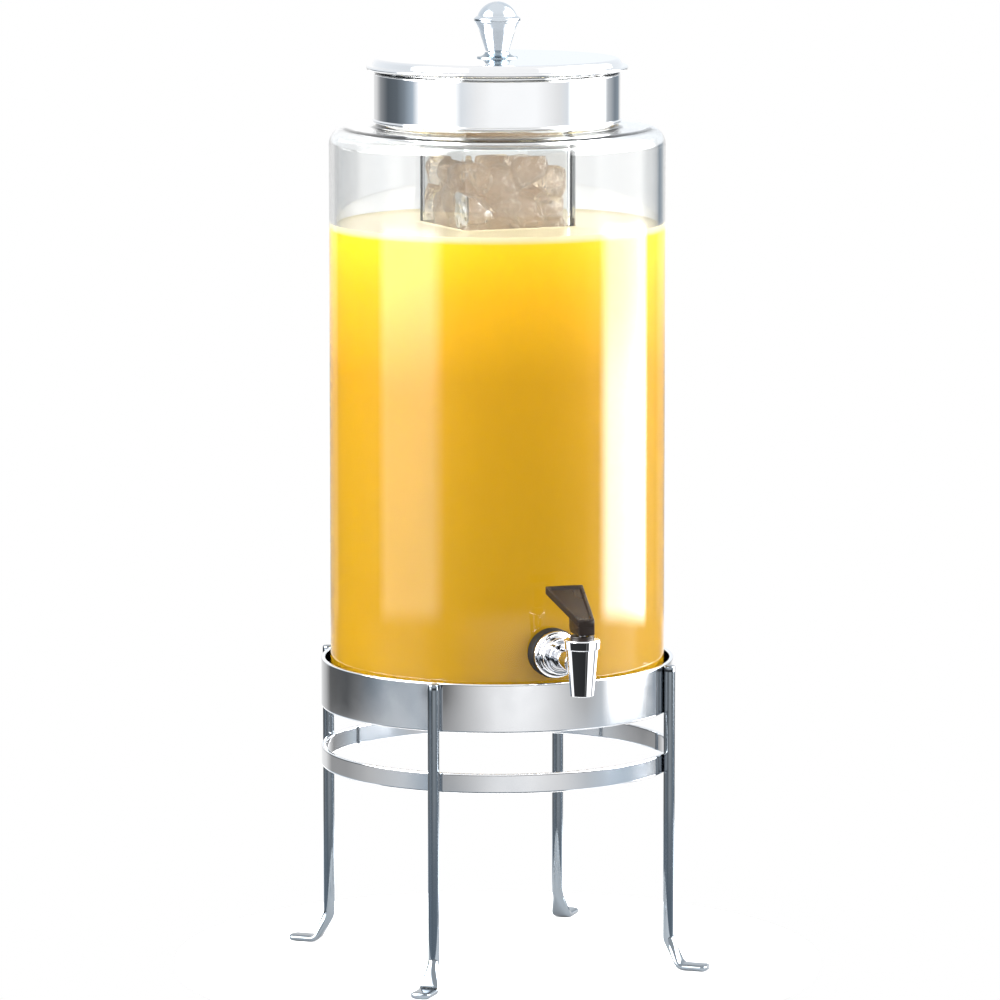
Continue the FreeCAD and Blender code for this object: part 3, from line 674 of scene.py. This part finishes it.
dress(skin("knob_turned", turned(knob_profile)), knob_metal_painted_shade, "lid_body", "trim_metal", "knob")
base_low, base_high = heights("knob_base")
base_r = half_width("knob_base")
SEAM_DEEP = 1.8 * MM
flare = np.linspace(0, 1, 16)[:, None]
start = np.array([[base_r, base_low + 0.6 * MM]])
control = np.array([[knob_neck + 0.9 * MM, base_low + 0.9 * MM]])
end = np.array([[knob_neck + 0.2 * MM, base_high - 0.9 * MM]])
curve = start * (1 - flare) ** 2 + control * 2 * flare * (1 - flare) + end * flare ** 2
base_profile = np.concatenate([[(0, base_low), (base_r, base_low)], curve,
                               [(knob_neck - SEAM_DEEP, base_high - 0.85 * MM),
                                (knob_neck - SEAM_DEEP - 0.1 * MM, base_high), (0, base_high)]])
dress(skin("knob_foot_flared", turned(base_profile)), foot_metal_painted_shade, "lid_body", "trim_metal", "knob_base")

# %% [markdown]
# ## The faucet
# The faucet's washer, plate and neck are round about a level axis that points out of the jar, and its
# spout is round about an upright one. The washer's back follows the jar: at a distance x to the side, a
# jar of radius R has receded to sqrt(R^2 - x^2), so the washer's reach is measured from there.

# %% Washer, plate
tap_low, tap_high_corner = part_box("faucet_plate")
tap_high = (tap_low.z + tap_high_corner.z) / 2
plate_back = -tap_high_corner.y
boss_front = -tap_low.y
plate_r = half_width("faucet_plate")


def forward(profile):
    """The profile's (radius, reach) points carried round the faucet's level axis, which points along -Y."""
    radius, reach = profile[:, :1], profile[:, 1:]
    return np.stack([radius * np.cos(ANGLE), -reach + 0 * ANGLE, tap_high + radius * np.sin(ANGLE)],
                    axis=-1)


washer_r = half_width("outer_washer")
shank_hole = 8.0 * MM
washer = forward(rounded([(shank_hole, jar_r), (washer_r, jar_r, 0.5 * MM),
                          (washer_r, plate_back, 1.2 * MM), (shank_hole, plate_back)],
                         closed=True, steps=6))
recede = jar_r - np.sqrt(jar_r ** 2 - washer[..., 0] ** 2)
behind = np.clip((plate_back + washer[..., 1]) / (plate_back - jar_r), 0, 1)
washer[..., 1] += (recede - 0.05 * MM) * behind
dress(skin("washer_saddled", washer), black_rubber, "jar_body", "black_rubber", "outer_washer")
boss_back = plate_back + 4.2 * MM
boss_r = 11.2 * MM
plate_profile = rounded([(shank_hole, plate_back), (plate_r, plate_back, 0.9 * MM),
                         (plate_r, boss_back, 1.9 * MM), (boss_r, boss_back, 0.5 * MM),
                         (boss_r, boss_front, 1.2 * MM), (shank_hole, boss_front, 0.4 * MM)],
                        closed=True, steps=7, support=0.3 * MM)
plate = skin("plate_turned", forward(plate_profile))
dress(plate, faucet_chrome, "jar_body", "faucet_chrome", "faucet_plate")

# %% [markdown]
# The spout is one casting. Its body is a closed profile that goes up the outside, over the top and down
# the bore, so the outlet is really open. The neck that joins it to the shank flares at both ends, as a
# cast fillet does, by a radius that grows exponentially near each end.

# %% Spout
BAND_TALL = 6 * MM
BAND_TAPER = 0.6 * MM
spout_corner_low, spout_corner_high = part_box("spout")
band_r = half_width("spout")
spout_axis = -(spout_corner_low.y + band_r)
spout_low, spout_top = spout_corner_low.z, spout_corner_high.z
shoulder_r = band_r - 1.4 * MM
valve_r = 7.1 * MM
tip_r = 6.9 * MM
outlet_r = 4.9 * MM
valve_seat = heights("seat_cup")[0]
body = rounded([(outlet_r, spout_low, 0.3 * MM), (tip_r, spout_low, 0.6 * MM),
                (shoulder_r, spout_top - BAND_TALL, 0.25 * MM),
                (band_r - BAND_TAPER, spout_top - BAND_TALL, 0.5 * MM),
                (band_r, spout_top, 0.8 * MM), (valve_r, spout_top, 0.3 * MM), (valve_r, valve_seat),
                (outlet_r, valve_seat)], closed=True, steps=7, support=0.3 * MM)
neck_start = boss_front - 1 * MM
neck_end = spout_axis - 7.6 * MM
reach = np.linspace(neck_start, neck_end, 30)
flare = np.exp(-(reach - neck_start) / (1.6 * MM)) + np.exp(-(neck_end - reach) / (2.4 * MM))
neck_radius = 6.2 * MM + 1.5 * MM * flare
neck = np.concatenate([[(0, neck_start)], np.stack([neck_radius, reach], axis=1), [(0, neck_end)]])
shank_end = -spout_corner_high.y
shank = rounded([(0, shank_end), (7.9 * MM, shank_end, 1 * MM), (7.9 * MM, boss_front - 0.1 * MM),
                 (0, boss_front - 0.1 * MM)])
spout = skin("spout_cast", turned(body, (0.0, -spout_axis)), forward(neck), forward(shank))
dress(spout, faucet_chrome, "jar_body", "faucet_chrome", "spout")

# %% Bonnet
bonnet_low, bonnet_top = heights("bonnet")
bonnet_r = half_width("bonnet")
bonnet_profile = rounded([(2.2 * MM, bonnet_low), (valve_r - 0.05 * MM, bonnet_low),
                          (valve_r - 0.05 * MM, spout_top), (bonnet_r, spout_top + 0.05 * MM),
                          (bonnet_r, bonnet_top, 0.6 * MM), (2.2 * MM, bonnet_top, 0.3 * MM)],
                         closed=True, steps=6, support=0.3 * MM)
dress(skin("bonnet_turned", turned(bonnet_profile, (0.0, -spout_axis))), black_plastic, "jar_body",
      "black_plastic", "bonnet")

# %% [markdown]
# A coil spring between the bonnet and the cup pushes the cup onto its seat. It is a thin wire carried along
# a helix, and gets a mesh of its own. When the stem rises the real spring shortens, which this rigid mesh
# doesn't show.

# %% Valve spring
WIRE_R = 0.4 * MM
TURNS = 5
spring_low, spring_high = heights("valve_spring")
coil_r = half_width("valve_spring") - WIRE_R


def coil():
    """Row k lies at turn t_k of a helix that climbs evenly. Its section is a circle of the wire's radius
    in the plane of the axis, and shrinks to a point at both ends."""
    turns = np.concatenate([[0], np.linspace(0, TURNS, TURNS * 36 + 1), [TURNS]])[:, None]
    wire = np.full_like(turns, WIRE_R)
    wire[[0, -1]] = 0
    section = np.linspace(0, 2 * math.pi, 12, endpoint=False)[None, :]
    radius = coil_r + wire * np.cos(section)
    climb = (spring_high - spring_low - 2 * WIRE_R) * turns / TURNS
    z = spring_low + WIRE_R + climb + wire * np.sin(section)
    angle = 2 * math.pi * turns
    return np.stack([radius * np.cos(angle), -spout_axis + radius * np.sin(angle), z], axis=-1)


spring = skin("spring_coiled", coil())
dress(spring, spring_steel, "jar_body", "spring_steel", "valve_spring")
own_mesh(spring)

# %% [markdown]
# The lever is one black moulding: a block on the pin, and a paddle that leans back and widens, with a
# shallow dish in its face. The paddle is rows of one outline along its length: under side, edges, a rim
# all round, and the dish floor, which is lowered except in the first and last rows. The block is a side
# view carried across, with its first and last rows drawn in a little for the rounded edges.

# %% Lever
lever_low, lever_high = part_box("lever")
paddle_front = -lever_low.y
paddle_tip = -lever_high.y
pin_z = sum(heights("lever_pin")) / 2
front_half = 4.9 * MM
tip_half = 11.9 * MM
PADDLE_THICK = 4.7 * MM
DISH_RIM = 1.7 * MM
DISH_DEEP = 1.3 * MM
BLOCK_DEEP = 18.6 * MM
BLOCK_EDGE = 1.2 * MM
edge_low = pin_z + 4.5 * MM
edge_high = lever_high.z
length = paddle_front - paddle_tip


def paddle():
    """Row k lies at a reach s_k from the front edge. Its outline goes round under side, side, rim and
    dish. Corners are eased: the first and last rows are drawn in, and the outline's corners are cut at an
    angle."""
    s = np.array([0, 0, 0.35, 1.2, 1.7, 2.3, 8, 20, 36.3, 37.4, 39.0, 40.1, 41.2, 41.9, 42.2, 42.2]) * MM
    s = s * length / s[-1]
    inset = np.array([3, 0.45, 0.1, 0, 0, 0, 0, 0, 0, 0, 0, 0, 0.0, 0.1, 0.45, 3]) * MM
    deep = np.array([0, 0, 0, 0, 0.1, 0.9, 1, 1, 1, 0.95, 0.9, 0.1, 0, 0, 0, 0]) * DISH_DEEP
    half = front_half + (tip_half - front_half) * s / length
    top = edge_low + (edge_high - edge_low) * s / length
    low = top - PADDLE_THICK
    zero = np.zeros_like(s)
    ease_cut = 0.35 * MM
    dish_half = half - DISH_RIM
    right = [(zero, low + inset), (half - inset - ease_cut, low + inset),
             (half - inset, low + inset + ease_cut), (half - inset, top - inset - ease_cut),
             (half - inset - ease_cut, top - inset), (dish_half, top - inset),
             (dish_half - 0.25 * MM, top - inset - deep * 0.25),
             (dish_half - 0.8 * MM, top - inset - deep), (zero, top - inset - deep)]
    right = [(np.maximum(x, 0), z) for x, z in right]
    left = [(-x, z) for x, z in right[-2:0:-1]]
    x, z = (np.stack([corner[i] for corner in right + left], axis=1) for i in (0, 1))
    y = -(paddle_front - s)[:, None] + 0 * x
    points = np.stack([x, y, z], axis=-1)
    points[0] = points[1].mean(0)
    points[-1] = points[-2].mean(0)
    return points


def block():
    """The side view's outline at several distances across. At the outermost it is drawn towards its
    middle."""
    low = lever_low.z
    back = paddle_front - BLOCK_DEEP
    slope = (edge_high - edge_low) / length
    under = edge_low - PADDLE_THICK + 0.4 * MM
    front = paddle_front - 0.12 * MM
    outline = rounded([(front, low, 0.8 * MM), (front, under),
                       (back, under + slope * (paddle_front - back)), (back, low, 3.5 * MM)],
                      closed=True, steps=5)
    across = np.array([-4.9, -4.9, -4.75, -4.35, 4.35, 4.75, 4.9, 4.9]) * MM
    draw_in = np.array([1, 0.35, 0.1, 0, 0, 0.1, 0.35, 1])
    centre = outline.mean(0)
    offset = outline - centre
    reach_out = np.linalg.norm(offset, axis=1, keepdims=True)
    draw_in = draw_in[:, None, None]
    shrink = np.where(draw_in == 1, 0.0, 1 - draw_in * BLOCK_EDGE / reach_out[None])
    rows = centre + offset[None] * shrink
    return np.stack([across[:, None] + 0 * rows[..., 0], -rows[..., 0], rows[..., 1]], axis=-1)


lever = skin("lever_moulded", paddle(), block(), sharp_degrees=30.0)
dress(lever, black_plastic, "tap_lever", "black_plastic", "lever")

# %% [markdown]
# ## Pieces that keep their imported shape
# The ledge, the nut and seal inside the jar, the valve's cup and stem, the lever's pin and the knob's
# screw are already what a machine would make, and are mostly out of sight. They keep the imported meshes
# and only get finishes.

# %% Finishes for kept nodes
kept = {"seat_ring": stand_metal, "shank_nut": black_plastic, "inner_washer": seal_rubber,
        "seat_cup": seal_rubber, "stem": spring_steel, "lever_pin": spring_steel,
        "knob_screw": spring_steel}
for node, finish in kept.items():
    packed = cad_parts[node]
    packed.data.materials.clear()
    packed.data.materials.append(finish)
print("kept nodes:", ", ".join(kept))

# %% [markdown]
# ## The studio
# Polished metal and clear plastic show what is around them, so the room matters as much as the object. It
# is a ring of upright light boxes and dark flags, drawn in the world by the direction a ray leaves in: a
# bright box on each side, a soft wall of light in front, and narrow dark flags between them, which give
# the metal its dark edges. Area lamps would do for a matte object, but a ray through a clear jar finds a
# world far more easily than a lamp.

# %% Studio world
CAMERA_AZIMUTH = math.radians(-18.5)
CAMERA_ELEVATION = math.radians(8.0)
world = bpy.data.worlds.new("studio")
bpy.context.scene.world = world
world.use_nodes = True
air = world.node_tree
air.nodes.clear()


def air_node(kind, **settings):
    """A world node with its settings given as attributes."""
    node = air.nodes.new(kind)
    for key, value in settings.items():
        setattr(node, key, value)
    return node


def air_dot(vector, direction):
    """How far the ray's direction goes along another direction."""
    node = air_node("ShaderNodeVectorMath", operation="DOT_PRODUCT")
    air.links.new(vector, node.inputs[0])
    node.inputs[1].default_value = direction
    return node.outputs["Value"]


WHITE = (1.0, 1.0, 1.0)
COOL = (0.92, 0.96, 1.0)
SLATE = (0.74, 0.87, 1.0)
BRIGHTEST = 10.0


def air_ramp(position, stops):
    """A colour ramp over -180..180 degrees. Each stop is degrees, brightness and a tint, which is white if
    it isn't given. The ramp holds shares of BRIGHTEST."""
    ramp = air_node("ShaderNodeValToRGB")
    while len(ramp.color_ramp.elements) < len(stops):
        ramp.color_ramp.elements.new(0.5)
    for element, (degrees, level, *tint) in zip(ramp.color_ramp.elements, stops):
        element.position = (degrees + 180) / 360
        element.color = (*[level * t / BRIGHTEST for t in (tint[0] if tint else WHITE)], 1.0)
    air.links.new(position, ramp.inputs["Fac"])
    return ramp.outputs["Color"]


back_x, back_y = math.sin(CAMERA_AZIMUTH), -math.cos(CAMERA_AZIMUTH)
ray_direction = air_node("ShaderNodeTexCoord").outputs["Generated"]
toward = air_dot(ray_direction, (back_x, back_y, 0))
sideways = air_dot(ray_direction, (-back_y, back_x, 0))
upward = air_dot(ray_direction, (0, 0, 1))
turn_node = air_node("ShaderNodeMath", operation="ARCTAN2")
air.links.new(sideways, turn_node.inputs[0])
air.links.new(toward, turn_node.inputs[1])
around_node = air_node("ShaderNodeMapRange")
around_node.inputs["From Min"].default_value = -math.pi
around_node.inputs["From Max"].default_value = math.pi
air.links.new(turn_node.outputs["Value"], around_node.inputs["Value"])
around = around_node.outputs["Result"]

# Each layer: the degrees above level where it gives way to the next, over how many degrees to each side
# it does so, and its stops round the room.
layers = [
    (-31, 4.0, [(-180, 0.9), (30, 0.85), (55, 0.4, SLATE), (120, 0.35, SLATE), (150, 0.9)]),
    (-14, 0.8, [(-180, 1.0), (-88, 1.6), (-82, 0.04, COOL), (28, 0.03, COOL), (31, 0.3),
     (34, 0.04, COOL), (44, 0.04, COOL), (50, 1.8), (98, 1.8), (102, 0.3, COOL), (112, 0.3, COOL),
     (119, 1.5), (180, 1.0)]),
    (-10.95, 0.15, [(-180, 2.0), (-160, 2.0), (-140, 0.9, SLATE), (-100, 0.5, SLATE),
     (-70, 0.62, SLATE), (-30, 0.5, SLATE), (30, 0.52, SLATE), (70, 0.62, SLATE), (98, 0.9, COOL),
     (108, 5.0), (150, 5.0), (160, 2.0)]),
    (-9.95, 0.1, [(-180, 1.0), (-152, 0.8), (-140, 0.34), (-116, 0.36), (-92, 0.55),
     (-64, 0.68, COOL), (-46, 0.5, SLATE), (-36, 0.42), (-26, 0.52), (-16, 0.66), (0, 0.94),
     (20, 0.98), (40, 0.8), (60, 0.66, COOL), (80, 0.7, SLATE), (110, 0.62, SLATE),
     (130, 0.42, COOL), (146, 0.3), (160, 0.9)]),
    (-9.05, 0.12, [(-180, 1.0), (-152, 0.5), (-142, 0.12), (-116, 0.09, COOL), (-104, 0.14, COOL),
     (-92, 0.24, SLATE), (-78, 0.4, SLATE), (-54, 0.38, SLATE), (-44, 0.14), (-34, 0.14),
     (-26, 0.38), (-16, 0.66), (0, 1.1), (14, 1.26), (26, 1.12), (38, 0.84), (53, 0.52), (60, 0.46),
     (72, 0.66, COOL), (80, 1.5), (106, 1.5), (115, 0.6, COOL), (124, 0.4, SLATE), (142, 0.25),
     (152, 0.3), (165, 1.0)]),
    (-6.6, 0.6, [(-180, 0.5), (-146, 0.5), (-140, 0.12, SLATE), (-90, 0.12, SLATE), (-82, 2.4),
     (-46, 3.0), (-36, 0.14), (62, 0.1), (74, 0.5), (83, 17.0), (120, 17.0), (126, 0.6),
     (140, 0.3, SLATE), (148, 0.5)]),
    (-5.55, 0.08, [(-180, 0.8), (-146, 0.8), (-140, 0.2, SLATE), (-90, 0.2, SLATE), (-82, 5.0),
     (-46, 6.0), (-36, 0.14), (62, 0.12), (74, 0.5), (83, 12.0), (120, 12.0), (126, 0.6),
     (140, 0.4, SLATE), (148, 0.8)]),
    (0, 1.5, [(-180, 0.92), (-154, 0.8), (-141, 0.36, COOL), (-124, 0.15, SLATE),
     (-108, 0.19, SLATE), (-97, 0.34, SLATE), (-86, 0.66, SLATE), (-77, 1.5), (-41, 1.5),
     (-34, 1.0, COOL), (-18, 1.12), (-4, 1.26), (36, 1.26), (60, 0.98), (69, 0.98, COOL), (77, 2.2),
     (116, 2.2), (126, 0.7, COOL), (144, 0.32, SLATE), (156, 0.4, SLATE), (166, 0.92)]),
    (50, 10.0, [(-180, 1.1), (-140, 1.1, COOL), (-100, 1.0, COOL), (-88, 20.0), (-50, 20.0),
     (-34, 1.1), (50, 1.1), (72, 18.0), (118, 18.0), (140, 1.1, COOL)]),
    (90, 0.0, [(-180, 1.2), (180, 1.2)]),
]
COLOUR_A, COLOUR_B, COLOUR_RESULT = 6, 7, 2
room = air_ramp(around, layers[0][2])
for (edge, soft, _), (_, _, stops) in zip(layers, layers[1:]):
    wall = air_ramp(around, stops)
    climb = air_node("ShaderNodeMapRange", interpolation_type="SMOOTHSTEP")
    climb.inputs["From Min"].default_value = math.sin(math.radians(edge - soft))
    climb.inputs["From Max"].default_value = math.sin(math.radians(edge + soft))
    air.links.new(upward, climb.inputs["Value"])
    join = air_node("ShaderNodeMix", data_type="RGBA")
    air.links.new(climb.outputs["Result"], join.inputs["Factor"])
    air.links.new(room, join.inputs[COLOUR_A])
    air.links.new(wall, join.inputs[COLOUR_B])
    room = join.outputs[COLOUR_RESULT]
lit = air_node("ShaderNodeBackground")
lit.inputs["Strength"].default_value = BRIGHTEST
air.links.new(room, lit.inputs["Color"])
plain = air_node("ShaderNodeBackground")
plain.inputs["Color"].default_value = (1.0, 1.0, 1.0, 1.0)
seen = air_node("ShaderNodeLightPath")
either = air_node("ShaderNodeMixShader")
air.links.new(seen.outputs["Is Camera Ray"], either.inputs["Fac"])
air.links.new(lit.outputs["Background"], either.inputs[1])
air.links.new(plain.outputs["Background"], either.inputs[2])
air.links.new(either.outputs["Shader"], air_node("ShaderNodeOutputWorld").inputs["Surface"])
print("studio turned", round(math.degrees(CAMERA_AZIMUTH), 1), "degrees with the camera")

# %% Floor and camera
floor_finish = bpy.data.materials.new("pale_floor")
floor_finish.use_nodes = True
floor_tree = floor_finish.node_tree
floor_tree.nodes.clear()
# A darker white in reflections keeps the feet from burning out, and the pale one is what the camera sees.
shades = []
for white in (0.45, 0.97):
    cloth = floor_tree.nodes.new("ShaderNodeBsdfDiffuse")
    cloth.inputs["Color"].default_value = (white, white, white, 1.0)
    shades.append(cloth.outputs["BSDF"])
floor_mix = floor_tree.nodes.new("ShaderNodeMixShader")
floor_seen = floor_tree.nodes.new("ShaderNodeLightPath")
floor_tree.links.new(floor_seen.outputs["Is Camera Ray"], floor_mix.inputs["Fac"])
floor_tree.links.new(shades[0], floor_mix.inputs[1])
floor_tree.links.new(shades[1], floor_mix.inputs[2])
floor_tree.links.new(floor_mix.outputs["Shader"],
                     floor_tree.nodes.new("ShaderNodeOutputMaterial").inputs["Surface"])
floor_profile = np.array([(0, 0), (0.10, 0), (0.195, 0), (0.20, -0.001), (0.20, -0.006), (0, -0.006)])
floor = skin("floor", turned(floor_profile))
floor.data.materials.append(floor_finish)

camera_data = bpy.data.cameras.new("camera")
camera = bpy.data.objects.new("camera", camera_data)
bpy.context.scene.collection.objects.link(camera)
bpy.context.scene.camera = camera
camera_data.sensor_width = 36.0
camera_data.lens = 228.5
CAMERA_AWAY = 3.912
AIM_HIGH = 0.2858
AIM_RIGHT = 1.7 * MM
away = Vector((back_x * math.cos(CAMERA_ELEVATION), back_y * math.cos(CAMERA_ELEVATION),
               math.sin(CAMERA_ELEVATION)))
right = Vector((-back_y, back_x, 0))
target = Vector((0, 0, AIM_HIGH)) + right * AIM_RIGHT
camera.location = target + away * CAMERA_AWAY
camera.rotation_mode = "QUATERNION"
camera.rotation_quaternion = (-away).to_track_quat("-Z", "Y")
camera_data.clip_start = 0.1
camera_data.clip_end = 50.0
bpy.context.scene.view_settings.view_transform = "Standard"
print("camera at", [round(v, 3) for v in camera.location])
